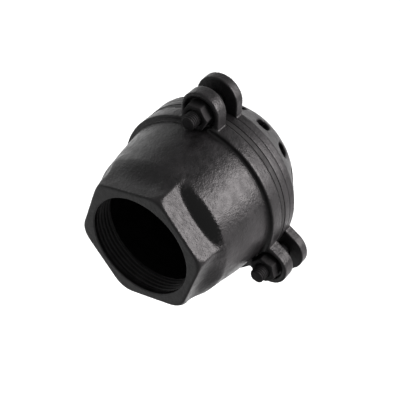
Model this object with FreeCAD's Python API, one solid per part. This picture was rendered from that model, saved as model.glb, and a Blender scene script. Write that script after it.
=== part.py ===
import FreeCAD, Part
import math
import os

from FreeCAD import Rotation, Vector

# Cast-iron flap foot valve for a 2 inch suction pipe, in millimetres.
# The origin is the centre of the outlet face, and +Z is the flow axis, out of the outlet.
# The valve hangs from the pipe, so every part lies below z = 0.

# Outlet: hexagon nose with a female G2 pipe thread, bored to its minor diameter
HEX_ACROSS_FLATS = 66.0
HEX_CORNER_ANGLE = 12.1
HEX_CORNER_R = 1.8
HEX_FACE_R = 36.0
HEX_CHAMFER_R = 38.4
HEX_CHAMFER = 4.0
HEX_FRONT_R = 0.8
HEX_PRISM = 20.0
THREAD_BORE_R = 28.33
THREAD_LENGTH = 13.5

# Body: bowl, flap chamber and flange
# The outlines are (radius, depth below the outlet face) points
BODY_HEIGHT = 57.5
BODY_FLANGE = 8.5
FLANGE_R = 47.2
SHOULDER_OUTLINE = ((32.5, 12.0), (36.6, 14.2), (39.6, 18.0))
BOWL_OUTLINE = ((39.6, 18.0), (42.2, 32.0), (44.2, 49.0))
ROOF_OUTLINE = ((29.0, 13.5), (32.4, 15.6), (34.2, 19.5))
WALL_OUTLINE = ((34.2, 19.5), (37.6, 33.0), (39.2, 46.5))

# Ears of the body and the strainer
EAR_ANGLES = (330.0, 210.0, 90.0)
EAR_CENTRE_R = 52.5
BODY_EAR_R = 11.0
STRAINER_EAR_R = 12.0
BODY_EAR_STEP = 0.8
EAR_FILLET_R = 1.5
EAR_ROOT_R = 36.0
EAR_ROOT_HALF = 9.0
BOLT_CIRCLE_R = 52.0
BOLT_HOLE_R = 4.5
SPOT_FACE_R = 8.5
SPOT_FACE_SINK = 1.3
NUT_FACE_SINK = 1.8
SPOT_FACE_REACH = 12.0

# Rubber sheet: clamped rim, C-shaped slot, flap disc and hinge tongue
RUBBER = 3.1
RIM_INNER_R = 31.0
FLAP_R = 29.5
HINGE_X = 35.0
TONGUE_HALF = 11.0
TONGUE_SIDE_GAP = 1.5
TONGUE_END_GAP = 1.6
RIM_HINGE_GAP = 0.2

# Seat ring
SEAT_RING = 4.3
PORT_R = 24.0
PORT_EDGE_R = 1.5

# Flap hardware
WEIGHT_R = 25.0
WEIGHT_THICK = 7.0
WEIGHT_EDGE_R = 2.0
PLATE_R = 18.0
PLATE_THICK = 4.0
PLATE_EDGE = 1.0
SMALL_THREAD_R = 3.0
SMALL_HEX = 10.0
SMALL_HEAD = 4.0
SMALL_NUT = 5.2
SMALL_WASHER_R = 6.0
SMALL_SCREW = 25.0

# Strainer: short rim, cone and spherical bottom
EAR_THICK = 5.6
STRAINER_RIM = 4.5
STRAINER_WALL = 4.5
DOME_R = 44.0
DOME_RISE = 3.58
SLOT_COUNT = 15
SLOT_FIRST_ANGLE = 14.0
SLOT_HALF_WIDTH = 3.8
SLOT_TOP = 11.0
SLOT_BOTTOM = 21.0
HOLE_R = 3.6
HOLE_RINGS = ((10, 28.0, 6.0), (5, 16.0, 24.0), (1, 0.0, 0.0))

# M8 fasteners
BOLT_R = 4.0
BOLT_LENGTH = 30.0
BOLT_HEX = 13.0
BOLT_HEAD = 5.3
BOLT_NUT = 6.5
WASHER_THICK = 1.6
WASHER_BORE_GAP = 0.3
THREAD_GAP = 0.02
POINT_CHAMFER = 1.0
BOLT_TURN = 27.5
NUT_TURNS = (4.3, 45.0, 26.0)

# Levels along the flow axis
Z_FLANGE_TOP = BODY_FLANGE - BODY_HEIGHT
Z_EAR_TOP = Z_FLANGE_TOP - BODY_EAR_STEP
Z_NUT_FACE = Z_EAR_TOP - NUT_FACE_SINK
Z_BODY = -BODY_HEIGHT
Z_SEAT = Z_BODY - RUBBER
Z_STRAINER = Z_SEAT - SEAT_RING
Z_EAR_FOOT = Z_STRAINER - EAR_THICK
Z_BOLT_HEAD = Z_EAR_FOOT + SPOT_FACE_SINK

LEVEL_TOLERANCE = 0.001
AXIS = Vector(0, 0, 1)
ORIGIN = Vector(0, 0, 0)


def polar(radius, degrees, z=0.0):
    """Point at a radius and an angle about the flow axis."""
    angle = math.radians(degrees)
    return Vector(radius * math.cos(angle), radius * math.sin(angle), z)


def side(radius, z):
    """Point of a revolved outline."""
    return Vector(radius, 0, z)


def line(a, b):
    return Part.LineSegment(a, b).toShape()


def arc(a, middle, b):
    return Part.Arc(a, middle, b).toShape()


def revolved(edges):
    """Solid of revolution about the flow axis from a closed outline in the XZ plane."""
    return Part.Face(Part.Wire(edges)).revolve(ORIGIN, AXIS, 360)


def cylinder(radius, z_low, z_high, x=0.0, y=0.0):
    return Part.makeCylinder(radius, z_high - z_low, Vector(x, y, z_low))


def ring(outer, inner, z_low, z_high):
    return cylinder(outer, z_low, z_high).cut(cylinder(inner, z_low, z_high))


def turned(shape, degrees):
    """Copy of a shape, turned about the flow axis."""
    copy = shape.copy()
    copy.rotate(ORIGIN, AXIS, degrees)
    return copy


def moved(shape, x, y, z):
    copy = shape.copy()
    copy.translate(Vector(x, y, z))
    return copy


def edges_at(shape, z):
    """Edges that lie wholly at one level."""
    found = []
    for edge in shape.Edges:
        box = edge.BoundBox
        if abs(box.ZMin - z) < LEVEL_TOLERANCE and abs(box.ZMax - z) < LEVEL_TOLERANCE:
            found.append(edge)
    return found


def hexagon(across_flats, height, z_low, degrees=0.0):
    """Hexagonal prism on the flow axis, with a corner at the given angle."""
    corner_r = across_flats / 2 / math.cos(math.radians(30))
    corners = [polar(corner_r, degrees + 60 * i, z_low) for i in range(7)]
    return Part.Face(Part.makePolygon(corners)).extrude(AXIS * height)


def chamfered_hexagon(across_flats, height, z_low, degrees=0.0):
    """Bolt head or nut blank: a hexagonal prism with its corners turned down at 30 degrees."""
    corner_r = across_flats / 2 / math.cos(math.radians(30))
    flat_r = across_flats / 2
    drop = (corner_r - flat_r) * math.tan(math.radians(30))
    z_high = z_low + height
    outline = [
        line(side(0, z_low), side(flat_r, z_low)),
        line(side(flat_r, z_low), side(corner_r, z_low + drop)),
        line(side(corner_r, z_low + drop), side(corner_r, z_high - drop)),
        line(side(corner_r, z_high - drop), side(flat_r, z_high)),
        line(side(flat_r, z_high), side(0, z_high)),
        line(side(0, z_high), side(0, z_low)),
    ]
    return hexagon(across_flats, height, z_low, degrees).common(revolved(outline))


def threaded_rod(radius, z_low, z_high):
    """Plain rod at the thread's outer diameter, with a chamfered upper end."""
    rod = cylinder(radius, z_low, z_high)
    return rod.makeChamfer(POINT_CHAMFER, edges_at(rod, z_high))


def ear_edges(degrees, lobe_r):
    """Outline of one ear, from its root on the flange circle, round the lobe and back."""
    fillet_y = lobe_r + EAR_FILLET_R
    fillet_x = math.sqrt((FLANGE_R + EAR_FILLET_R) ** 2 - fillet_y**2)
    root = math.degrees(math.atan2(fillet_y, fillet_x))
    bend = math.radians((root - 90) / 2)
    half = []
    for sign in (-1, 1):
        centre = Vector(fillet_x, sign * fillet_y, 0)
        across = Vector(math.sin(bend), -sign * math.cos(bend), 0)
        half.append(
            (
                polar(FLANGE_R, sign * root),
                centre + across * EAR_FILLET_R,
                Vector(fillet_x, sign * lobe_r, 0),
                Vector(EAR_CENTRE_R, sign * lobe_r, 0),
            )
        )
    low, high = half
    tip = Vector(EAR_CENTRE_R + lobe_r, 0, 0)
    edges = [
        arc(low[0], low[1], low[2]),
        line(low[2], low[3]),
        arc(low[3], tip, high[3]),
        line(high[3], high[2]),
        arc(high[2], high[1], high[0]),
    ]
    for edge in edges:
        edge.rotate(ORIGIN, AXIS, degrees)
    return edges, root


def eared_plate(z_low, z_high):
    """Round plate with the body's three ears."""
    edges = []
    for angle in sorted(EAR_ANGLES):
        ear, root = ear_edges(angle, BODY_EAR_R)
        edges += ear
        gap = [polar(FLANGE_R, angle + turn) for turn in (root, 60, 120 - root)]
        edges.append(arc(*gap))
    plate = Part.Face(Part.Wire(edges)).extrude(AXIS * (z_high - z_low))
    return moved(plate, 0, 0, z_low)


def lone_ear(degrees, z_low, z_high):
    """One ear of the strainer, with a root that runs inwards under the rim."""
    edges, root = ear_edges(degrees, STRAINER_EAR_R)
    inner = [Vector(EAR_ROOT_R, sign * EAR_ROOT_HALF, 0) for sign in (1, -1)]
    inner = [Rotation(AXIS, degrees).multVec(point) for point in inner]
    edges.append(line(polar(FLANGE_R, degrees + root), inner[0]))
    edges.append(line(inner[0], inner[1]))
    edges.append(line(inner[1], polar(FLANGE_R, degrees - root)))
    ear = Part.Face(Part.Wire(edges)).extrude(AXIS * (z_high - z_low))
    return moved(ear, 0, 0, z_low)


def at_bolts(radius, z_low, z_high):
    """Upright cylinder at each bolt, as a cutter."""
    places = [polar(BOLT_CIRCLE_R, angle) for angle in EAR_ANGLES]
    return [cylinder(radius, z_low, z_high, p.x, p.y) for p in places]


def hexagon_nose():
    """Prism with rounded corners, which are turned down towards the rounded front edge."""
    nose = hexagon(HEX_ACROSS_FLATS, HEX_PRISM, -HEX_PRISM, HEX_CORNER_ANGLE)
    upright = [edge for edge in nose.Edges if edge.BoundBox.ZLength > HEX_PRISM / 2]
    nose = nose.makeFillet(HEX_CORNER_R, upright)
    chamfer = [side(0, 0), side(HEX_FACE_R, 0), side(HEX_CHAMFER_R, -HEX_CHAMFER)]
    chamfer += [side(HEX_CHAMFER_R, -HEX_PRISM), side(0, -HEX_PRISM), side(0, 0)]
    turned = revolved([line(start, end) for start, end in zip(chamfer, chamfer[1:])])
    nose = nose.common(turned)
    return nose.makeFillet(HEX_FRONT_R, edges_at(nose, 0.0))


def outline_arc(outline):
    """Arc through three points, each a radius and a depth below the outlet face."""
    return arc(*[side(radius, -depth) for radius, depth in outline])


def bowl():
    """Outside of the bowl, with a rounded shoulder behind the hexagon."""
    top_r, top = SHOULDER_OUTLINE[0]
    foot_r, foot = BOWL_OUTLINE[-1]
    return revolved(
        [
            line(side(0, -top), side(top_r, -top)),
            outline_arc(SHOULDER_OUTLINE),
            outline_arc(BOWL_OUTLINE),
            line(side(foot_r, -foot), side(0, -foot)),
            line(side(0, -foot), side(0, -top)),
        ]
    )


def waterway():
    """Thread bore and flap chamber."""
    roof = -THREAD_LENGTH
    wall_r, wall_foot = WALL_OUTLINE[-1]
    return revolved(
        [
            line(side(0, 0), side(THREAD_BORE_R, 0)),
            line(side(THREAD_BORE_R, 0), side(THREAD_BORE_R, roof)),
            line(side(THREAD_BORE_R, roof), side(ROOF_OUTLINE[0][0], roof)),
            outline_arc(ROOF_OUTLINE),
            outline_arc(WALL_OUTLINE),
            line(side(wall_r, -wall_foot), side(wall_r, Z_BODY)),
            line(side(wall_r, Z_BODY), side(0, Z_BODY)),
            line(side(0, Z_BODY), side(0, 0)),
        ]
    )


def body():
    """Upper casting, whose ears are a step thinner than its flange."""
    flange = cylinder(FLANGE_R, Z_BODY, Z_FLANGE_TOP)
    shape = bowl().multiFuse([hexagon_nose(), flange, eared_plate(Z_BODY, Z_EAR_TOP)])
    bores = at_bolts(BOLT_HOLE_R, Z_BODY, Z_EAR_TOP)
    bores += at_bolts(SPOT_FACE_R, Z_NUT_FACE, Z_NUT_FACE + SPOT_FACE_REACH)
    return shape.cut([waterway()] + bores).removeSplitter()


def gasket_rim():
    """Clamped rim of the rubber sheet, notched where the hinge tongue leaves it."""
    notch_half = TONGUE_HALF + TONGUE_SIDE_GAP
    notch_end = HINGE_X + RIM_HINGE_GAP
    notch = Part.makeBox(notch_end, 2 * notch_half, RUBBER, Vector(0, -notch_half, Z_SEAT))
    return ring(FLANGE_R, RIM_INNER_R, Z_SEAT, Z_BODY).cut(notch)


def flap_disc():
    """Moving disc of the rubber sheet, with its hinge tongue."""
    tongue_end = HINGE_X - TONGUE_END_GAP
    tongue = Part.makeBox(tongue_end, 2 * TONGUE_HALF, RUBBER, Vector(0, -TONGUE_HALF, Z_SEAT))
    disc = cylinder(FLAP_R, Z_SEAT, Z_BODY).fuse(tongue)
    return disc.cut(cylinder(SMALL_THREAD_R, Z_SEAT, Z_BODY)).removeSplitter()


def flap_weight():
    """Iron weight on the rubber flap."""
    top = Z_BODY + WEIGHT_THICK
    disc = cylinder(WEIGHT_R, Z_BODY, top)
    disc = disc.makeFillet(WEIGHT_EDGE_R, edges_at(disc, top))
    return disc.cut(cylinder(SMALL_THREAD_R + WASHER_BORE_GAP, Z_BODY, top))


def flap_plate():
    """Clamp plate under the rubber flap, small enough to pass into the port."""
    foot = Z_SEAT - PLATE_THICK
    disc = cylinder(PLATE_R, foot, Z_SEAT)
    disc = disc.makeChamfer(PLATE_EDGE, edges_at(disc, foot))
    return disc.cut(cylinder(SMALL_THREAD_R + WASHER_BORE_GAP, foot, Z_SEAT))


def flap_hardware():
    """Screw from below, washer and nut above the weight."""
    seat = Z_SEAT - PLATE_THICK
    head = chamfered_hexagon(SMALL_HEX, SMALL_HEAD, seat - SMALL_HEAD)
    rod = threaded_rod(SMALL_THREAD_R, seat, seat + SMALL_SCREW)
    washer_z = Z_BODY + WEIGHT_THICK
    nut_z = washer_z + WASHER_THICK
    washer_bore = SMALL_THREAD_R + WASHER_BORE_GAP
    nut_bore = cylinder(SMALL_THREAD_R + THREAD_GAP, nut_z, nut_z + SMALL_NUT)
    return {
        "flap_screw": head.fuse(rod).removeSplitter(),
        "flap_washer": ring(SMALL_WASHER_R, washer_bore, washer_z, nut_z),
        "flap_nut": chamfered_hexagon(SMALL_HEX, SMALL_NUT, nut_z, 17.0).cut(nut_bore),
    }


def seat_ring():
    """Flat ring whose port the flap closes, rounded at the inlet side."""
    shape = ring(FLANGE_R, PORT_R, Z_STRAINER, Z_SEAT)
    inlet = [e for e in edges_at(shape, Z_STRAINER) if e.Length < 2 * math.pi * FLANGE_R - 1]
    return shape.makeFillet(PORT_EDGE_R, inlet)


def dome(radius, rim_r, rim_height):
    """Solid strainer form: rim, cone tangent to a sphere, and the sphere's lower part."""
    centre_z = Z_STRAINER + DOME_RISE
    rim_z = Z_STRAINER - rim_height
    reach = math.hypot(rim_r, centre_z - rim_z)
    touch = math.atan2(centre_z - rim_z, rim_r) + math.acos(radius / reach)
    bend = (touch + math.pi / 2) / 2

    def on_sphere(angle):
        return side(radius * math.cos(angle), centre_z - radius * math.sin(angle))

    bottom = side(0, centre_z - radius)
    edges = [
        line(side(0, Z_STRAINER), side(rim_r, Z_STRAINER)),
        line(side(rim_r, rim_z), on_sphere(touch)),
        arc(on_sphere(touch), on_sphere(bend), bottom),
        line(bottom, side(0, Z_STRAINER)),
    ]
    if rim_height > 0:
        edges.insert(1, line(side(rim_r, Z_STRAINER), side(rim_r, rim_z)))
    return revolved(edges)


def side_slot():
    """Cutter of one upright rounded slot, pointing along +X."""
    length = DOME_R + STRAINER_WALL
    low = Z_STRAINER - SLOT_BOTTOM + SLOT_HALF_WIDTH
    high = Z_STRAINER - SLOT_TOP - SLOT_HALF_WIDTH
    across = Vector(1, 0, 0)
    ends = [Part.makeCylinder(SLOT_HALF_WIDTH, length, Vector(0, 0, z), across) for z in (low, high)]
    middle = Part.makeBox(
        length, 2 * SLOT_HALF_WIDTH, high - low, Vector(0, -SLOT_HALF_WIDTH, low)
    )
    return middle.multiFuse(ends)


def strainer():
    """Basket with three ears, upright side slots and round bottom holes."""
    inner_r = DOME_R - STRAINER_WALL
    outside = dome(DOME_R, FLANGE_R, STRAINER_RIM)
    rim_inner_r = FLANGE_R - STRAINER_WALL
    inside = dome(inner_r, rim_inner_r, 0.0)
    ears = [lone_ear(angle, Z_EAR_FOOT, Z_STRAINER) for angle in EAR_ANGLES]
    slots = []
    for i in range(SLOT_COUNT):
        slots.append(turned(side_slot(), SLOT_FIRST_ANGLE + 360.0 / SLOT_COUNT * i))
    floor = Z_STRAINER + DOME_RISE - DOME_R
    holes = []
    for count, radius, first in HOLE_RINGS:
        for i in range(count):
            at = polar(radius, first + 360.0 / count * i)
            holes.append(cylinder(HOLE_R, floor, Z_STRAINER - SLOT_TOP, at.x, at.y))
    bores = at_bolts(BOLT_HOLE_R, Z_EAR_FOOT, Z_STRAINER)
    bores += at_bolts(SPOT_FACE_R, Z_EAR_FOOT - SPOT_FACE_REACH, Z_BOLT_HEAD)
    return outside.multiFuse(ears).cut([inside] + bores + slots + holes).removeSplitter()


def clamp_set(index):
    """Bolt and nut of one ear, each on its spot face."""
    at = polar(BOLT_CIRCLE_R, EAR_ANGLES[index])
    head = chamfered_hexagon(BOLT_HEX, BOLT_HEAD, Z_BOLT_HEAD - BOLT_HEAD, BOLT_TURN)
    rod = threaded_rod(BOLT_R, Z_BOLT_HEAD, Z_BOLT_HEAD + BOLT_LENGTH)
    nut = chamfered_hexagon(BOLT_HEX, BOLT_NUT, Z_NUT_FACE, NUT_TURNS[index])
    nut = nut.cut(cylinder(BOLT_R + THREAD_GAP, Z_NUT_FACE, Z_NUT_FACE + BOLT_NUT))
    number = index + 1
    pieces = {
        f"bolt_{number}": head.fuse(rod).removeSplitter(),
        f"bolt_nut_{number}": nut,
    }
    return {name: moved(shape, at.x, at.y, 0) for name, shape in pieces.items()}


parts = {
    "body": body(),
    "gasket_rim": gasket_rim(),
    "flap_disc": flap_disc(),
    "flap_weight": flap_weight(),
    "flap_plate": flap_plate(),
    "seat_ring": seat_ring(),
    "strainer": strainer(),
}
parts.update(flap_hardware())
for ear in range(len(EAR_ANGLES)):
    parts.update(clamp_set(ear))

os.makedirs("parts", exist_ok=True)
for name, shape in parts.items():
    solids = shape.Solids
    print(name, len(solids), shape.isValid(), round(shape.Volume / 1000, 2), "cm3")
    if len(solids) == 1:
        shape = solids[0]
    shape.exportStep(f"parts/{name}.step")
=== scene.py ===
import itertools
import math

import bpy
import numpy as np
import openvdb
from mathutils import Matrix, Vector


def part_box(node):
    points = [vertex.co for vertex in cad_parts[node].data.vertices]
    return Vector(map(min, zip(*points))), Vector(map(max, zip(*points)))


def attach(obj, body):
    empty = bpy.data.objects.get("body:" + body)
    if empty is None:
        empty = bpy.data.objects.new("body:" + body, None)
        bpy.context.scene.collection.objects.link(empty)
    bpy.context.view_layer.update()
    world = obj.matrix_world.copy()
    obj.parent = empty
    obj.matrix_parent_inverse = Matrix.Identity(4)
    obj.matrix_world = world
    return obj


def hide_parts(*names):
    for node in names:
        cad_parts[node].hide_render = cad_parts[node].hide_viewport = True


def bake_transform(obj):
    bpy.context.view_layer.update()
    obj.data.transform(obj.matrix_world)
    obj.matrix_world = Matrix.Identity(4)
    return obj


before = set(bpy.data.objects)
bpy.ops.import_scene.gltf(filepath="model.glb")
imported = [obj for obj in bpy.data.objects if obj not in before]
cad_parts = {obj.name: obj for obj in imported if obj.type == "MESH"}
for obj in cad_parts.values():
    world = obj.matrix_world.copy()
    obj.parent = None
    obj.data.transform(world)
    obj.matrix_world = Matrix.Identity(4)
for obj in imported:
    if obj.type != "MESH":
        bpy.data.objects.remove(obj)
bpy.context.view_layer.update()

# Shapes are worked out in millimetres, in the frame's own axes, and scaled to metres when a mesh is made.
MM = 0.001


def low(node):
    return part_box(node)[0] / MM


def high(node):
    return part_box(node)[1] / MM


# Levels and sizes read from the frame
NUT_FACE_SINK = 1.8
BODY_EAR_STEP = 0.8
Z_NUT_FACE = low("bolt_nut_1").z
Z_EAR_TOP = Z_NUT_FACE + NUT_FACE_SINK
Z_FLANGE_TOP = Z_EAR_TOP + BODY_EAR_STEP
Z_BODY = low("body").z
Z_STRAINER = low("seat_ring").z
FLANGE_R = high("seat_ring").x
EAR_ANGLES = (330.0, 210.0, 90.0)
BOLT_CENTRES = [(low(f"bolt_nut_{n}") + high(f"bolt_nut_{n}")) / 2 for n in (1, 2, 3)]

# Hexagon nose, bowl and flap chamber of the body.
# The outlines are (radius, depth below the outlet face) points.
HEX_HALF = 33.0
HEX_CORNER_ANGLE = 12.1
HEX_CORNER_R = 1.8
HEX_FACE_R = 36.0
HEX_CHAMFER_R = 38.4
HEX_CHAMFER = 4.0
HEX_FRONT_R = 0.9
HEX_PRISM = 20.0
SHOULDER_OUTLINE = ((32.5, 12.0), (36.6, 14.2), (39.6, 18.0))
BOWL_OUTLINE = ((39.6, 18.0), (42.2, 32.0), (44.2, 49.0))
ROOF_OUTLINE = ((29.0, 13.5), (32.4, 15.6), (34.2, 19.5))
WALL_OUTLINE = ((34.2, 19.5), (37.6, 33.0), (39.2, 46.5))
THREAD_LENGTH = 13.5
PILOT_R = 27.0
NOSE_BLEND = 8.0

# Recess behind one hexagon flat: the middle and half sizes of the painted shade laid into it, and the crisp
# root of the nose there
RECESS_AZIMUTH = 282.1
RECESS_SHADE_R = 35.5
RECESS_SHADE_DEPTH = 15.6
RECESS_SHADE_REACH = (6.5, 20.5, 5.0)
RECESS_BLEND = 1.2

# Ears, bolt holes and spot faces
EAR_CENTRE_R = 52.5
BODY_EAR_R = 11.0
STRAINER_EAR_R = 12.0
EAR_THICK = 5.6
EAR_EDGE_R = 0.6
JOINT_EDGE_R = 0.25
BOLT_HOLE_R = 4.5
SPOT_FACE_R = 8.5
SPOT_FACE_REACH = 12.0
Z_EAR_FOOT = Z_STRAINER - EAR_THICK

# Clamp bolts and nuts: M8, 13 mm across flats
BOLT_R = 4.0
BOLT_HEX_HALF = 6.5
BOLT_HEAD = 5.3
BOLT_PITCH = 1.25
BOLT_THREAD = 22.0
BOLT_TURN = 27.5
NUT_TURNS = (4.3, 45.0, 26.0)
Z_BOLT_HEAD = low("bolt_1").z + BOLT_HEAD

# Outlet thread: G2, 11 threads per inch
THREAD_MINOR_R = 28.33
THREAD_PITCH = 25.4 / 11
THREAD_DEPTH = 1.479

# Flap: bolt M6, and the bores and sizes of its discs
FLAP_BOLT_R = 3.0
FLAP_HEX_HALF = 5.0
FLAP_PITCH = 1.0
FLAP_THREAD = 18.0
FLAP_BOLT_TURN = 0.0
FLAP_NUT_TURN = 17.0
FLAP_BORE_R = 3.1
WASHER_BORE_R = 3.2
DISC_BORE_R = 3.3
WEIGHT_R = 25.0
PLATE_R = 18.0

# Strainer: cone tangent to a sphere
DOME_R = 44.0
DOME_RISE = 3.58
DOME_TOUCH = math.radians(33.0)
DOME_INNER_TOUCH = math.radians(27.6)
DOME_WALL = 4.5
SLOT_COUNT = 15
SLOT_FIRST_ANGLE = 14.0
SLOT_HALF_WIDTH = 3.8
SLOT_TOP = 11.0
SLOT_BOTTOM = 21.0
HOLE_R = 3.6
# Each ring of holes in the bottom: count, radius, first angle
HOLE_RINGS = ((10, 28.0, 6.0), (5, 16.0, 24.0), (1, 0.0, 0.0))

# ---------------------------------------------------------------- fields

def lattice(corner, far_corner, voxel):
    """Sample coordinates of a box, as three arrays that broadcast against each other."""
    axes = [np.arange(a, b + voxel, voxel, dtype=np.float32) for a, b in zip(corner, far_corner)]
    return np.meshgrid(*axes, indexing="ij", sparse=True)


def union(a, b, blend):
    """Smooth union of two distance fields, with a fillet of about the blend's size."""
    h = np.clip(0.5 + 0.5 * (b - a) / blend, 0, 1)
    return b * (1 - h) + a * h - blend * h * (1 - h)


def cut(a, b, blend):
    """Field a with b taken away, its new edges rounded by about the blend's size."""
    return -union(-a, b, blend)


def rounded_meet(a, b, radius):
    """Intersection of two distance fields with its edge rounded to a radius."""
    a = a + radius
    b = b + radius
    outside = np.hypot(np.maximum(a, 0), np.maximum(b, 0))
    return outside + np.minimum(np.maximum(a, b), 0) - radius


def slab(z, z_low, z_high):
    return np.abs(z - (z_low + z_high) / 2) - (z_high - z_low) / 2


def hexagon_field(x, y, half, corner_r, corner_angle):
    """Plan distance to a hexagon with rounded corners."""
    turn = math.radians(60 - corner_angle)
    px = np.abs(x * math.cos(turn) - y * math.sin(turn))
    py = np.abs(x * math.sin(turn) + y * math.cos(turn))
    r = half - corner_r
    kx, ky, kz = -math.sqrt(0.75), 0.5, math.sqrt(1 / 3)
    fold = 2 * np.minimum(kx * px + ky * py, 0)
    px = px - fold * kx
    py = py - fold * ky
    px = px - np.clip(px, -kz * r, kz * r)
    py = py - r
    return np.hypot(px, py) * np.sign(py) - corner_r


def ears_field(x, y, lobe_r):
    """Plan distance to the three ears, each a round-ended bar."""
    found = None
    for degrees in EAR_ANGLES:
        c, s = math.cos(math.radians(degrees)), math.sin(math.radians(degrees))
        along = np.clip(x * c + y * s, FLANGE_R / 2, EAR_CENTRE_R)
        ear = np.hypot(x - along * c, y - along * s) - lobe_r
        found = ear if found is None else np.minimum(found, ear)
    return found


def bolt_field(x, y, radius):
    """Plan distance to a circle round each bolt."""
    rings = [np.hypot(x - c.x, y - c.y) - radius for c in BOLT_CENTRES]
    return np.minimum(np.minimum(rings[0], rings[1]), rings[2])


def arc_points(outline, count=12):
    """Points along the arc through three (radius, depth) points, as (radius, height) rows."""
    first, middle, last = (Vector((r, -depth, 0)) for r, depth in outline)
    chord_a, chord_b = middle - first, last - first
    across = chord_a.cross(chord_b)
    offset = across.cross(chord_a) * chord_b.length_squared + chord_b.cross(across) * chord_a.length_squared
    centre = first + offset / (2 * across.length_squared)
    spoke = first - centre
    turn = spoke.xy.angle_signed(last.xy - centre.xy)
    rows = []
    for step in range(count + 1):
        arm = Matrix.Rotation(-turn * step / count, 3, "Z") @ spoke
        rows.append((centre.x + arm.x, centre.y + arm.y))
    return rows


def revolved_field(rho, z, outline):
    """Distance to a solid of revolution, from the closed (radius, height) polygon of its half section."""
    step = 0.25
    levels = z.reshape(-1)
    radii = np.arange(0, float(rho.max()) + 2 * step, step)
    r, h = np.meshgrid(radii, levels, indexing="ij")
    best = np.full(r.shape, 1e9)
    inside = np.zeros(r.shape, bool)
    for (r1, h1), (r2, h2) in zip(outline, outline[1:] + outline[:1]):
        dr, dh = r2 - r1, h2 - h1
        if r1 > 0.001 or r2 > 0.001:
            share = np.clip(((r - r1) * dr + (h - h1) * dh) / (dr * dr + dh * dh), 0, 1)
            best = np.minimum(best, np.hypot(r - r1 - share * dr, h - h1 - share * dh))
        if h1 != h2:
            crossing = (h1 > h) != (h2 > h)
            inside ^= crossing & (r < dr * (h - h1) / dh + r1)
    table = np.where(inside, -best, best).astype(np.float32)
    spot = rho[:, :, 0] / step
    base = spot.astype(int)
    share = (spot - base)[:, :, None].astype(np.float32)
    return table[base] * (1 - share) + table[base + 1] * share


def sector_angle(x, y, count, first):
    """Angle from the nearest of a ring of equally spaced directions."""
    step = 2 * math.pi / count
    angle = np.arctan2(y, x) - math.radians(first)
    return angle - step * np.round(angle / step)


# ---------------------------------------------------------------- meshes

def value_noise(points, size, seed):
    """Smooth random values between -1 and 1, with features of about the given size."""
    cell = points / size + seed * 17.31
    base = np.floor(cell).astype(np.int64)
    t = cell - base
    t = t * t * (3 - 2 * t)
    total = np.zeros(len(points))
    for corner in itertools.product((0, 1), repeat=3):
        spot = base + np.array(corner)
        mixed = (spot[:, 0] * 73856093) ^ (spot[:, 1] * 19349663) ^ (spot[:, 2] * 83492791)
        mixed = (mixed ^ (seed * 2654435761)) & 0xFFFFFFFF
        mixed = (mixed ^ (mixed >> 15)) * 2246822519 & 0xFFFFFFFF
        mixed = (mixed ^ (mixed >> 13)) * 3266489917 & 0xFFFFFFFF
        mixed = mixed ^ (mixed >> 16)
        share = np.prod(np.where(np.array(corner), t, 1 - t), axis=1)
        total += share * (mixed / 2**31 - 1)
    return total


def make_mesh(name, points, faces):
    """Object from points in millimetres, shaded smooth."""
    mesh = bpy.data.meshes.new(name)
    mesh.from_pydata((points * MM).tolist(), [], faces)
    mesh.polygons.foreach_set("use_smooth", [True] * len(mesh.polygons))
    mesh.update()
    obj = bpy.data.objects.new(name, mesh)
    bpy.context.scene.collection.objects.link(obj)
    return obj


def skin(name, corner, field, voxel):
    """Object whose surface is where a sampled distance field is zero."""
    grid = openvdb.FloatGrid(float(field.max()))
    grid.copyFromArray(np.ascontiguousarray(field, dtype=np.float32))
    points, quads = grid.convertToQuads()
    points = points.astype(float) * voxel + np.array(corner, float)
    a, b, c = (points[quads[:, i]] for i in (0, 1, 2))
    if np.einsum("ij,ij->", a, np.cross(b, c)) < 0:
        quads = quads[:, ::-1]
    return make_mesh(name, points, quads.tolist())


def vertices(obj):
    flat = np.zeros(len(obj.data.vertices) * 3)
    obj.data.vertices.foreach_get("co", flat)
    return flat.reshape(-1, 3) / MM


def normals(obj):
    flat = np.zeros(len(obj.data.vertices) * 3)
    obj.data.vertex_normals.foreach_get("vector", flat)
    return flat.reshape(-1, 3)


def set_vertices(obj, points):
    obj.data.vertices.foreach_set("co", (points * MM).ravel())
    obj.data.update()


def roughen(obj, coarse, fine, seed, share=None):
    """Sand-cast unevenness: low swells and fine grains along the surface's own normals."""
    points = vertices(obj)
    height = coarse * value_noise(points, 9.0, seed)
    height += 0.6 * coarse * value_noise(points, 4.2, seed + 1)
    height += fine * value_noise(points, 1.7, seed + 2)
    if share is not None:
        height *= share(points)
    set_vertices(obj, points + normals(obj) * height[:, None])


def rings_mesh(name, rings, capped):
    """Closed mesh from rings of points.

    Capped ends make a rod, and without caps the rings close on themselves.
    """
    rings = np.asarray(rings, float)
    count, columns = rings.shape[:2]
    points = rings.reshape(-1, 3)
    rows = count - 1 if capped else count
    i = np.arange(rows)[:, None]
    j = np.arange(columns)[None, :]
    here, there = (i % count) * columns, ((i + 1) % count) * columns
    nxt = (j + 1) % columns
    quads = np.stack([here + j, here + nxt, there + nxt, there + j], axis=-1).reshape(-1, 4)
    faces = quads.tolist()
    if capped:
        centres = [rings[0].mean(0), rings[-1].mean(0)]
        points = np.vstack([points, centres])
        start = count * columns
        for k in range(columns):
            faces.append([start, (k + 1) % columns, k])
            faces.append([start + 1, start - columns + k, start - columns + (k + 1) % columns])
    return make_mesh(name, points, faces)


def around(columns):
    return np.arange(columns) * (2 * math.pi / columns)


def ring_at(radius, z, columns, centre=(0.0, 0.0)):
    """One ring of points. The radius is a number or one number for each column."""
    angle = around(columns)
    radius = np.broadcast_to(radius, angle.shape)
    x = centre[0] + radius * np.cos(angle)
    y = centre[1] + radius * np.sin(angle)
    return np.stack([x, y, np.full(columns, float(z))], axis=-1)


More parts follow.
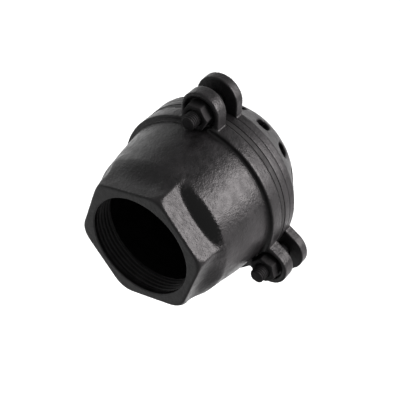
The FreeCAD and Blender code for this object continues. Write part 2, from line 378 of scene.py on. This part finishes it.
def thread_swell(z, columns, pitch):
    """0 on a right-hand thread's crest in a bore and 1 in its groove, for one ring."""
    phase = (z / pitch - around(columns) / (2 * math.pi)) % 1.0
    slope = np.abs(2 * phase - 1)
    s = np.clip((slope - 0.12) / 0.76, 0, 1)
    return s * s * (3 - 2 * s) * 0.35 + s * 0.65


def taken_away(obj, cutter):
    """Boolean difference, applied. The cutter is removed."""
    modifier = obj.modifiers.new("cut", "BOOLEAN")
    modifier.operation = "DIFFERENCE"
    modifier.solver = "MANIFOLD"
    modifier.object = cutter
    bpy.context.view_layer.update()
    evaluated = obj.evaluated_get(bpy.context.evaluated_depsgraph_get())
    mesh = bpy.data.meshes.new_from_object(evaluated)
    obj.modifiers.clear()
    old = obj.data
    obj.data = mesh
    bpy.data.meshes.remove(old)
    bpy.data.objects.remove(cutter)
    return obj


# ---------------------------------------------------------------- body

def body_casting():
    """Hexagon nose, bowl and eared flange, hollow inside, before the thread is cut."""
    voxel = 0.65
    tip = EAR_CENTRE_R + BODY_EAR_R
    corner = (-tip, -FLANGE_R - 4, Z_BODY - 2)
    x, y, z = lattice(corner, (tip, tip + 2, 2.0), voxel)
    rho = np.hypot(x, y)
    hexagon = hexagon_field(x, y, HEX_HALF, HEX_CORNER_R, HEX_CORNER_ANGLE)
    spread, fall = HEX_CHAMFER_R - HEX_FACE_R, HEX_CHAMFER
    turned = ((rho - HEX_FACE_R) * fall + z * spread) / math.hypot(spread, fall)
    nose = rounded_meet(cut(hexagon, -turned, 1.2), slab(z, -HEX_PRISM, 0.0), HEX_FRONT_R)
    bowl_top, bowl_foot = -SHOULDER_OUTLINE[0][1], -BOWL_OUTLINE[-1][1]
    side = arc_points(SHOULDER_OUTLINE) + arc_points(BOWL_OUTLINE)[1:]
    bowl = revolved_field(rho, z, [(0, bowl_top)] + side + [(0, bowl_foot)])
    flange = rounded_meet(rho - FLANGE_R, z - Z_FLANGE_TOP, EAR_EDGE_R)
    ears = rounded_meet(ears_field(x, y, BODY_EAR_R), z - Z_EAR_TOP, EAR_EDGE_R)
    plate = rounded_meet(union(flange, ears, 0.5), Z_BODY - z, JOINT_EDGE_R)
    facing = np.cos(np.arctan2(y, x) - math.radians(RECESS_AZIMUTH))
    crisp = np.clip((facing - 0.80) / 0.12, 0, 1)
    root = RECESS_BLEND * crisp + NOSE_BLEND * (1 - crisp)
    solid = union(union(nose, bowl, root), plate, 0.7)
    wall = arc_points(ROOF_OUTLINE) + arc_points(WALL_OUTLINE)[1:]
    mouth = [(0, 5), (PILOT_R, 5), (PILOT_R, -THREAD_LENGTH)]
    foot = [(wall[-1][0], Z_BODY - 5), (0, Z_BODY - 5)]
    hollow = revolved_field(rho, z, mouth + wall + foot)
    solid = cut(solid, hollow, 0.8)
    reach = slab(z, Z_NUT_FACE, Z_NUT_FACE + SPOT_FACE_REACH)
    spot = np.maximum(bolt_field(x, y, SPOT_FACE_R), reach)
    solid = cut(cut(solid, spot, 1.0), bolt_field(x, y, BOLT_HOLE_R), 0.4)
    return skin("valve_body", corner, solid, voxel)


def thread_cutter():
    """The outlet's water space up to the thread's flanks. The groove starts shallow below the mouth."""
    columns = 240
    step = THREAD_PITCH / 10
    foot = -THREAD_LENGTH - 2.5
    rings = [ring_at(THREAD_MINOR_R, foot, columns)]
    for i in range(1, int((-foot + 0.1) / step)):
        z = foot + i * step
        run_in = min(1.0, max(0.0, (-z - 1.6) / 2.2))
        run_out = min(1.0, max(0.0, (z + THREAD_LENGTH + 0.4) / 1.2))
        swell = thread_swell(z, columns, THREAD_PITCH)
        rings.append(ring_at(THREAD_MINOR_R + THREAD_DEPTH * run_in * run_out * swell, z, columns))
    rings.append(ring_at(THREAD_MINOR_R, -0.6, columns))
    rings.append(ring_at(THREAD_MINOR_R + 0.6, 0.05, columns))
    rings.append(ring_at(THREAD_MINOR_R + 0.6, 1.5, columns))
    return rings_mesh("thread_cutter", rings, True)


def make_body():
    obj = body_casting()

    def cast_share(points):
        """Less unevenness on the machined end face, the lower face and in the bore."""
        rho = np.hypot(points[:, 0], points[:, 1])
        flat = np.minimum(-points[:, 2], points[:, 2] - Z_BODY)
        share = np.clip(flat / 2.5, 0.15, 1)
        return np.where((rho < THREAD_MINOR_R + 2) & (points[:, 2] > -THREAD_LENGTH), 0.0, share)

    roughen(obj, 0.09, 0.03, 3, cast_share)
    return taken_away(obj, thread_cutter())


# ---------------------------------------------------------------- strainer

def dome_field(rho, z, radius, touch):
    """Distance to a downward dome: a sphere, and above it the cone that touches it."""
    centre_z = Z_STRAINER + DOME_RISE
    fall = centre_z - z
    cone = rho * math.cos(touch) + fall * math.sin(touch) - radius
    sphere = np.hypot(rho, fall) - radius
    return np.where(fall > rho * math.tan(touch), sphere, cone)


def make_strainer():
    voxel = 0.6
    tip = EAR_CENTRE_R + STRAINER_EAR_R
    corner = (-tip, -FLANGE_R - 4, low("strainer").z - 2)
    x, y, z = lattice(corner, (tip, tip + 2, Z_STRAINER + 1.5), voxel)
    rho = np.hypot(x, y)
    rim = np.maximum(rho - FLANGE_R, dome_field(rho, z, DOME_R, DOME_TOUCH))
    ears = np.maximum(ears_field(x, y, STRAINER_EAR_R), FLANGE_R - 12 - rho)
    ears = rounded_meet(ears, Z_EAR_FOOT - z, EAR_EDGE_R)
    solid = union(rim, ears, 0.7)
    solid = rounded_meet(solid, z - Z_STRAINER, JOINT_EDGE_R)
    solid = cut(solid, dome_field(rho, z, DOME_R - DOME_WALL, DOME_INNER_TOUCH), 0.8)
    reach = slab(z, Z_EAR_FOOT - SPOT_FACE_REACH, Z_BOLT_HEAD)
    spot = np.maximum(bolt_field(x, y, SPOT_FACE_R), reach)
    solid = cut(solid, np.minimum(spot, bolt_field(x, y, BOLT_HOLE_R)), 0.4)
    across = rho * np.sin(sector_angle(x, y, SLOT_COUNT, SLOT_FIRST_ANGLE))
    middle = Z_STRAINER - (SLOT_TOP + SLOT_BOTTOM) / 2
    half = (SLOT_BOTTOM - SLOT_TOP) / 2 - SLOT_HALF_WIDTH
    slots = np.hypot(across, np.maximum(np.abs(z - middle) - half, 0)) - SLOT_HALF_WIDTH
    slots = np.maximum(slots, FLANGE_R / 2 - rho)
    solid = cut(solid, slots, 1.0)
    for count, radius, first in HOLE_RINGS:
        angle = sector_angle(x, y, count, first)
        hole = np.hypot(rho * np.cos(angle) - radius, rho * np.sin(angle)) - HOLE_R
        solid = cut(solid, np.maximum(hole, z - Z_STRAINER + SLOT_TOP), 1.0)
    obj = skin("strainer_basket", corner, solid, voxel)
    roughen(obj, 0.09, 0.04, 11, lambda p: np.clip((Z_STRAINER - p[:, 2]) / 2.0, 0.1, 1))
    return obj


# ---------------------------------------------------------------- fasteners

FASTENER_COLUMNS = 120


def hexagon_radii(columns, half, corner_r, corner_angle):
    """Radius of a rounded hexagon in each column's direction."""
    angle = around(columns)
    radius = np.full(columns, half * 1.3)
    for _ in range(24):
        radius -= hexagon_field(radius * np.cos(angle), radius * np.sin(angle), half, corner_r, corner_angle)
    return radius


def blank_rings(half, z_low, z_high, corner_angle, centre, columns, edge):
    """Rings up the outside of a bolt head or nut, both ends chamfered at 30 degrees."""
    across = hexagon_radii(columns, half, edge, corner_angle)
    depth = np.array([0.0, 0.08, 0.18, 0.3, 0.45, 0.62, 0.8, 1.0, 1.3])
    levels = np.concatenate([z_low + depth, z_high - depth[::-1]])
    rings = []
    for z in levels:
        inward = min(z - z_low, z_high - z)
        cone = half * 0.97 + inward / math.tan(math.radians(30))
        corner = half * 0.97 + 0.4 * math.sqrt(min(inward / 0.3, 1.0)) - 0.4
        radius = union(across, np.minimum(cone, corner + inward * 1.73), 0.25)
        rings.append(ring_at(radius, z, columns, centre))
    return rings


def thread_rings(radius, z_low, z_high, pitch, depth, centre, columns):
    """Rings up a right-hand external thread with a rounded tip at the top."""
    count = int((z_high - z_low) / (pitch / 8))
    rings = []
    for i in range(count + 1):
        z = z_low + (z_high - z_low) * i / count
        groove = thread_swell(z, columns, pitch)
        to_tip = z_high - z
        chamfer = min(0.0, to_tip - 0.9)
        run_in = min(1.0, (z - z_low) / 1.5)
        rings.append(ring_at(radius - depth * groove * run_in + chamfer, z, columns, centre))
    return rings


def axis_of(node):
    """Plan position of the middle of a node's box."""
    middle = (low(node) + high(node)) / 2
    return middle.x, middle.y


def hexagon_bolt(name, node, head_high, radius, half, pitch, thread, turn):
    """Hexagon bolt with its head at the bottom and a thread of the given length at its top end."""
    centre = axis_of(node)
    head_low, tip = low(node).z, high(node).z
    columns = FASTENER_COLUMNS
    rings = [ring_at(half * share, head_low, columns, centre) for share in (0.1, 0.4, 0.7)]
    rings += blank_rings(half, head_low, head_high, turn, centre, columns, 0.5)
    rings.append(ring_at(radius + 0.3, head_high, columns, centre))
    rings.append(ring_at(radius, head_high + 0.3, columns, centre))
    rings.append(ring_at(radius, tip - thread, columns, centre))
    rings += thread_rings(radius, tip - thread + 0.2, tip, pitch, pitch / 2, centre, columns)
    rings += [ring_at(radius * share, tip + 0.05, columns, centre) for share in (0.6, 0.3, 0.1)]
    return rings_mesh(name, rings, True)


def hexagon_nut(name, node, radius, half, turn):
    centre = axis_of(node)
    z_low, z_high = low(node).z, high(node).z
    columns = FASTENER_COLUMNS
    bore = radius + 0.06
    rings = blank_rings(half, z_low, z_high, turn, centre, columns, 0.5)
    rings.append(ring_at(bore + 0.9, z_high, columns, centre))
    rings.append(ring_at(bore + 0.6, z_high - 0.15, columns, centre))
    rings.append(ring_at(bore, z_high - 0.7, columns, centre))
    rings.append(ring_at(bore, z_low + 0.7, columns, centre))
    rings.append(ring_at(bore + 0.7, z_low, columns, centre))
    return rings_mesh(name, rings, False)


def lathe(name, outline, columns, centre=(0.0, 0.0)):
    """Closed solid of revolution from (radius, height) points given anticlockwise in the half plane."""
    rings = [ring_at(r, z, columns, centre) for r, z in outline]
    return rings_mesh(name, rings, False)


def rounded_ring(inner, outer, z_low, z_high, inner_edge, outer_edge):
    """Outline of a flat ring with rounded edges."""
    outline = []
    for radius, z, edge, start in (
        (outer, z_low, outer_edge, 270),
        (outer, z_high, outer_edge, 0),
        (inner, z_high, inner_edge, 90),
        (inner, z_low, inner_edge, 180),
    ):
        side = -1 if radius == outer else 1
        rise = 1 if z == z_low else -1
        middle_r = radius + side * edge
        middle_z = z + rise * edge
        for step in range(6):
            angle = math.radians(start + 18 * step)
            outline.append((middle_r + edge * math.cos(angle), middle_z + edge * math.sin(angle)))
    return outline


def make_washer(name, node, bore):
    radius = (high(node).x - low(node).x) / 2
    outline = rounded_ring(bore, radius, low(node).z, high(node).z, 0.2, 0.35)
    return lathe(name, outline, 96, axis_of(node))


# ---------------------------------------------------------------- rubber, ring and flap

RIM_INNER_R = 31.0
RIM_SINK = 0.25
TONGUE_HALF = 11.0
TONGUE_GAP = 1.5
TONGUE_END = 41.0
DISC_R = 29.5
PORT_R = 24.0


def make_rubber_rim():
    """Rim of the rubber sheet, clamped under the flange, with a notch for the flap's tongue."""
    columns = 720
    angle = np.abs((around(columns) + math.pi) % (2 * math.pi) - math.pi)
    across = (TONGUE_HALF + TONGUE_GAP) / np.maximum(np.sin(angle), 1e-3)
    along = TONGUE_END / np.maximum(np.cos(angle), 1e-3)
    notch = union(across, along, 1.0)
    inner = np.where(angle < 0.6, -union(-notch, -RIM_INNER_R, 0.6), RIM_INNER_R)
    z_low, z_high = low("gasket_rim").z, high("gasket_rim").z
    edge = 0.35
    rings = []
    for start, middle_z in ((270, z_low + edge), (0, z_high - edge)):
        for step in range(5):
            a = math.radians(start + 22.5 * step)
            radius = FLANGE_R - RIM_SINK - edge + edge * math.cos(a)
            rings.append(ring_at(radius, middle_z + edge * math.sin(a), columns))
    rings.append(ring_at(inner + 0.3, z_high, columns))
    rings.append(ring_at(inner, z_high - 0.3, columns))
    rings.append(ring_at(inner, z_low + 0.3, columns))
    rings.append(ring_at(inner + 0.3, z_low, columns))
    return rings_mesh("rubber_rim", rings, False)


def make_rubber_flap():
    """Disc of the rubber sheet with the tongue that it bends on."""
    voxel = 0.4
    z_low, z_high = low("flap_disc").z, high("flap_disc").z
    corner = (-DISC_R - 2, -DISC_R - 2, z_low - 1.2)
    x, y, z = lattice(corner, (TONGUE_END + 2, DISC_R + 2, z_high + 1.2), voxel)
    disc = np.hypot(x, y) - DISC_R
    tongue = np.maximum(np.abs(y) - TONGUE_HALF + 0.05, np.maximum(x - TONGUE_END + 0.4, -x))
    plan = np.maximum(union(disc, tongue, 1.2), FLAP_BORE_R - np.hypot(x, y))
    solid = rounded_meet(plan, slab(z, z_low, z_high), 0.4)
    return skin("rubber_flap", corner, solid, voxel)


def make_seat_ring():
    z_low, z_high = low("seat_ring").z, high("seat_ring").z
    outline = rounded_ring(PORT_R, FLANGE_R, z_low, z_high, 1.5, JOINT_EDGE_R)
    return lathe("seat_ring_plate", outline, 360)


def make_flap_disc(name, node, radius, outer_edge, columns):
    """Round disc of the flap with a bore for its bolt."""
    outline = rounded_ring(DISC_BORE_R, radius, low(node).z, high(node).z, 0.4, outer_edge)
    return lathe(name, outline, columns)


# ---------------------------------------------------------------- camera and stage

VIEW_AZIMUTH = 27.48
VIEW_ELEVATION = 38.67
VIEW_ROLL = -132.74
VIEW_DISTANCE = 541.0
VIEW_TARGET = Vector((-4.06, 0.66, -50.43))
LENS = 92.887


def view_axes():
    """Camera's right, up and backward directions."""
    a, e, r = (math.radians(v) for v in (VIEW_AZIMUTH, VIEW_ELEVATION, VIEW_ROLL))
    back = Vector((math.sin(a) * math.cos(e), -math.cos(a) * math.cos(e), math.sin(e)))
    level = Vector((0, 0, 1)).cross(back).normalized()
    rise = back.cross(level)
    right = level * math.cos(r) + rise * math.sin(r)
    return right, back.cross(right), back


def make_camera():
    right, up, back = view_axes()
    data = bpy.data.cameras.new("camera")
    data.lens = LENS
    data.sensor_width = 36.0
    data.clip_start = 0.01
    data.clip_end = 20.0
    camera = bpy.data.objects.new("camera", data)
    bpy.context.scene.collection.objects.link(camera)
    turn = Matrix((right, up, back)).transposed().to_4x4()
    turn.translation = (VIEW_TARGET + back * VIEW_DISTANCE) * MM
    camera.matrix_world = turn
    bpy.context.scene.camera = camera


def soft_light(name, direction, distance, size, power, colour):
    """Square area light aimed at the object. The direction is in the camera's right, up, back axes."""
    right, up, back = view_axes()
    away = (right * direction[0] + up * direction[1] + back * direction[2]).normalized()
    data = bpy.data.lights.new(name, "AREA")
    data.shape = "SQUARE"
    data.size = size
    data.energy = power
    data.color = colour
    lamp = bpy.data.objects.new(name, data)
    bpy.context.scene.collection.objects.link(lamp)
    lamp.location = VIEW_TARGET * MM + away * distance
    lamp.rotation_mode = "QUATERNION"
    lamp.rotation_quaternion = away.to_track_quat("Z", "Y")


def make_world(strength):
    world = bpy.data.worlds.new("studio")
    bpy.context.scene.world = world
    world.use_nodes = True
    world.node_tree.nodes["Background"].inputs["Color"].default_value = (1, 1, 1, 1)
    world.node_tree.nodes["Background"].inputs["Strength"].default_value = strength


# ---------------------------------------------------------------- materials

class Shader:
    """Principled material with procedural nodes in object coordinates."""

    def __init__(self, name, colour, roughness, metallic=0.0):
        self.material = bpy.data.materials.new(name)
        self.material.use_nodes = True
        self.tree = self.material.node_tree
        self.shader = self.tree.nodes["Principled BSDF"]
        self.shader.inputs["Base Color"].default_value = (*colour, 1)
        self.shader.inputs["Roughness"].default_value = roughness
        self.shader.inputs["Metallic"].default_value = metallic
        self.place = self.tree.nodes.new("ShaderNodeTexCoord").outputs["Object"]

    def noise(self, size, detail=2.0):
        """Noise value with features of a size in millimetres."""
        node = self.tree.nodes.new("ShaderNodeTexNoise")
        node.inputs["Scale"].default_value = 1 / (size * MM)
        node.inputs["Detail"].default_value = detail
        self.tree.links.new(self.place, node.inputs["Vector"])
        return node.outputs["Fac"]

    def spread(self, value, low_in, high_in, low_out, high_out):
        node = self.tree.nodes.new("ShaderNodeMapRange")
        limits = (low_in, high_in, low_out, high_out)
        for socket, limit in zip(("From Min", "From Max", "To Min", "To Max"), limits):
            node.inputs[socket].default_value = limit
        self.tree.links.new(value, node.inputs["Value"])
        return node.outputs["Result"]

    def vary_roughness(self, size, low_out, high_out):
        value = self.spread(self.noise(size, 3.0), 0.35, 0.65, low_out, high_out)
        self.tree.links.new(value, self.shader.inputs["Roughness"])

    def vary_colour(self, size, colour_a, colour_b):
        node = self.tree.nodes.new("ShaderNodeMix")
        node.data_type = "RGBA"
        self.tree.links.new(self.spread(self.noise(size, 3.0), 0.35, 0.65, 0.0, 1.0), node.inputs[0])
        node.inputs[6].default_value = (*colour_a, 1)
        node.inputs[7].default_value = (*colour_b, 1)
        self.tree.links.new(node.outputs[2], self.shader.inputs["Base Color"])

    def painted_shade_patch(self, centre, turn, reach):
        """Painted shade: near-black, glossier paint in an ellipsoid round a point, standing in for the shade
        in a recess, with a grainy edge. Lengths are in metres.
        """
        mapping = self.tree.nodes.new("ShaderNodeMapping")
        mapping.vector_type = "TEXTURE"
        mapping.inputs["Location"].default_value = centre
        mapping.inputs["Rotation"].default_value = (0, 0, turn)
        mapping.inputs["Scale"].default_value = reach
        self.tree.links.new(self.place, mapping.inputs["Vector"])
        ball = self.tree.nodes.new("ShaderNodeTexGradient")
        ball.gradient_type = "SPHERICAL"
        self.tree.links.new(mapping.outputs["Vector"], ball.inputs["Vector"])
        grain = self.tree.nodes.new("ShaderNodeMath")
        grain.operation = "MULTIPLY_ADD"
        self.tree.links.new(self.noise(1.3), grain.inputs[0])
        grain.inputs[1].default_value = 0.9
        self.tree.links.new(ball.outputs["Fac"], grain.inputs[2])
        share = self.spread(grain.outputs[0], 0.56, 0.78, 0.0, 1.0)
        # Painted shade: inside the ellipsoid the base colour goes near-black and the roughness drops to 0.2
        for name, painted_shade_value in (("Roughness", 0.2), ("Base Color", (0.002, 0.002, 0.002, 1))):
            socket = self.shader.inputs[name]
            source = socket.links[0].from_socket
            node = self.tree.nodes.new("ShaderNodeMix")
            node.data_type = "RGBA" if name == "Base Color" else "FLOAT"
            first, second, result = (6, 7, 2) if name == "Base Color" else (2, 3, 0)
            self.tree.links.new(share, node.inputs[0])
            self.tree.links.new(source, node.inputs[first])
            node.inputs[second].default_value = painted_shade_value
            self.tree.links.new(node.outputs[result], socket)

    def bump(self, size, height, detail=2.0):
        """Fine relief, given as a feature size and a height in millimetres."""
        node = self.tree.nodes.new("ShaderNodeBump")
        node.inputs["Strength"].default_value = 1.0
        node.inputs["Distance"].default_value = height * MM
        self.tree.links.new(self.noise(size, detail), node.inputs["Height"])
        previous = self.shader.inputs["Normal"].links
        if previous:
            self.tree.links.new(previous[0].from_socket, node.inputs["Normal"])
        self.tree.links.new(node.outputs["Normal"], self.shader.inputs["Normal"])


def black_enamel(name, size, rough_low, rough_high):
    """Black enamel brushed over cast iron or steel."""
    paint = Shader(name, (0.012, 0.011, 0.012), rough_low)
    paint.vary_roughness(size, rough_low, rough_high)
    paint.vary_colour(size * 2, (0.009, 0.0085, 0.009), (0.017, 0.016, 0.017))
    paint.bump(1.6, 0.15)
    paint.bump(0.8, 0.08)
    return paint


def recess_place(azimuth, radius, depth):
    """Middle of a recess on the body, in metres."""
    angle = math.radians(azimuth)
    return radius * math.cos(angle) * MM, radius * math.sin(angle) * MM, -depth * MM


enamel_on_iron = black_enamel("black_enamel_on_iron", 4.0, 0.34, 0.46).material
steel_paint = black_enamel("black_enamel_on_steel", 2.0, 0.58, 0.72)
steel_paint.shader.inputs["Specular IOR Level"].default_value = 0.32
enamel_on_steel = steel_paint.material
body_paint_with_shade = black_enamel("black_enamel_with_painted_shade_on_body", 3.5, 0.31, 0.45)
# Painted shade laid into the recess behind one hexagon flat of the body
body_paint_with_shade.painted_shade_patch(
    recess_place(RECESS_AZIMUTH, RECESS_SHADE_R, RECESS_SHADE_DEPTH),
    math.radians(RECESS_AZIMUTH),
    [reach * MM for reach in RECESS_SHADE_REACH],
)
zinc = Shader("dull_zinc", (0.42, 0.42, 0.43), 0.42, 1.0)
zinc.vary_roughness(2.0, 0.35, 0.52)
black_rubber = Shader("black_rubber", (0.012, 0.012, 0.012), 0.62)
black_rubber.vary_roughness(3.0, 0.55, 0.7)
pale_floor = Shader("pale_floor", (0.9, 0.9, 0.9), 0.9)
pale_floor.vary_colour(400.0, (0.89, 0.89, 0.89), (0.91, 0.91, 0.91))


# ---------------------------------------------------------------- assembly

def place(piece, body, node, material):
    """A piece stands for a node, rides with a body and wears a material."""
    piece.data.materials.clear()
    piece.data.materials.append(material)
    if body:
        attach(piece, body)
    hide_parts(node)


place(make_body(), "housing", "body", body_paint_with_shade.material)
place(make_strainer(), "housing", "strainer", enamel_on_iron)
place(make_seat_ring(), "housing", "seat_ring", enamel_on_iron)
place(make_rubber_rim(), "housing", "gasket_rim", black_rubber.material)

for number in (1, 2, 3):
    node = f"bolt_{number}"
    size = (BOLT_R, BOLT_HEX_HALF, BOLT_PITCH, BOLT_THREAD, BOLT_TURN)
    bolt = hexagon_bolt(f"clamp_bolt_{number}", node, Z_BOLT_HEAD, *size)
    place(bolt, "housing", node, enamel_on_steel)
    node = f"bolt_nut_{number}"
    nut = hexagon_nut(f"clamp_nut_{number}", node, BOLT_R, BOLT_HEX_HALF, NUT_TURNS[number - 1])
    place(nut, "housing", node, enamel_on_steel)

flap = make_rubber_flap()
place(flap, None, "flap_disc", black_rubber.material)
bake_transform(flap)

weight = make_flap_disc("flap_weight_disc", "flap_weight", WEIGHT_R, 2.0, 180)
place(weight, "flap", "flap_weight", enamel_on_iron)
backing = make_flap_disc("flap_backing_plate", "flap_plate", PLATE_R, 0.7, 144)
place(backing, "flap", "flap_plate", zinc.material)
size = (FLAP_BOLT_R, FLAP_HEX_HALF, FLAP_PITCH, FLAP_THREAD, FLAP_BOLT_TURN)
screw = hexagon_bolt("flap_bolt", "flap_screw", low("flap_plate").z, *size)
place(screw, "flap", "flap_screw", zinc.material)
washer = make_washer("flap_bolt_washer", "flap_washer", WASHER_BORE_R)
place(washer, "flap", "flap_washer", zinc.material)
nut = hexagon_nut("flap_bolt_nut", "flap_nut", FLAP_BOLT_R, FLAP_HEX_HALF, FLAP_NUT_TURN)
place(nut, "flap", "flap_nut", zinc.material)


# ---------------------------------------------------------------- stage

FLOOR_Z = -0.7
FLOOR_HALF = 6.0


def make_floor():
    h = FLOOR_HALF
    corners = ((-h, -h), (h, -h), (h, h), (-h, h))
    points = np.array([(x, y, FLOOR_Z) for x, y in corners]) / MM
    floor = make_mesh("floor", points, [[0, 1, 2, 3]])
    floor.data.materials.append(pale_floor.material)


def pool_light():
    """Spot from overhead on the part of the floor behind the object."""
    data = bpy.data.lights.new("backdrop_spot", "SPOT")
    data.energy = 200.0
    data.spot_size = math.radians(74)
    data.spot_blend = 0.5
    data.shadow_soft_size = 0.1
    lamp = bpy.data.objects.new("backdrop_spot", data)
    bpy.context.scene.collection.objects.link(lamp)
    lamp.location = (-0.6, 1.25, 1.2)


make_floor()
make_camera()
make_world(0.26)
soft_light("key", (0.87, 0.22, 0.44), 0.75, 0.52, 7.2, (1.0, 0.945, 0.955))
soft_light("right_fill", (0.8, -0.5, -0.35), 0.9, 0.8, 1.8, (1.0, 0.94, 0.96))
soft_light("top_fill", (-0.62, 0.72, -0.3), 0.9, 0.65, 1.1, (1.0, 1.0, 1.0))
soft_light("left_fill", (-0.85, -0.38, -0.35), 0.9, 1.0, 0.95, (1.0, 1.0, 1.0))
pool_light()
bpy.context.scene.view_settings.view_transform = "Standard"
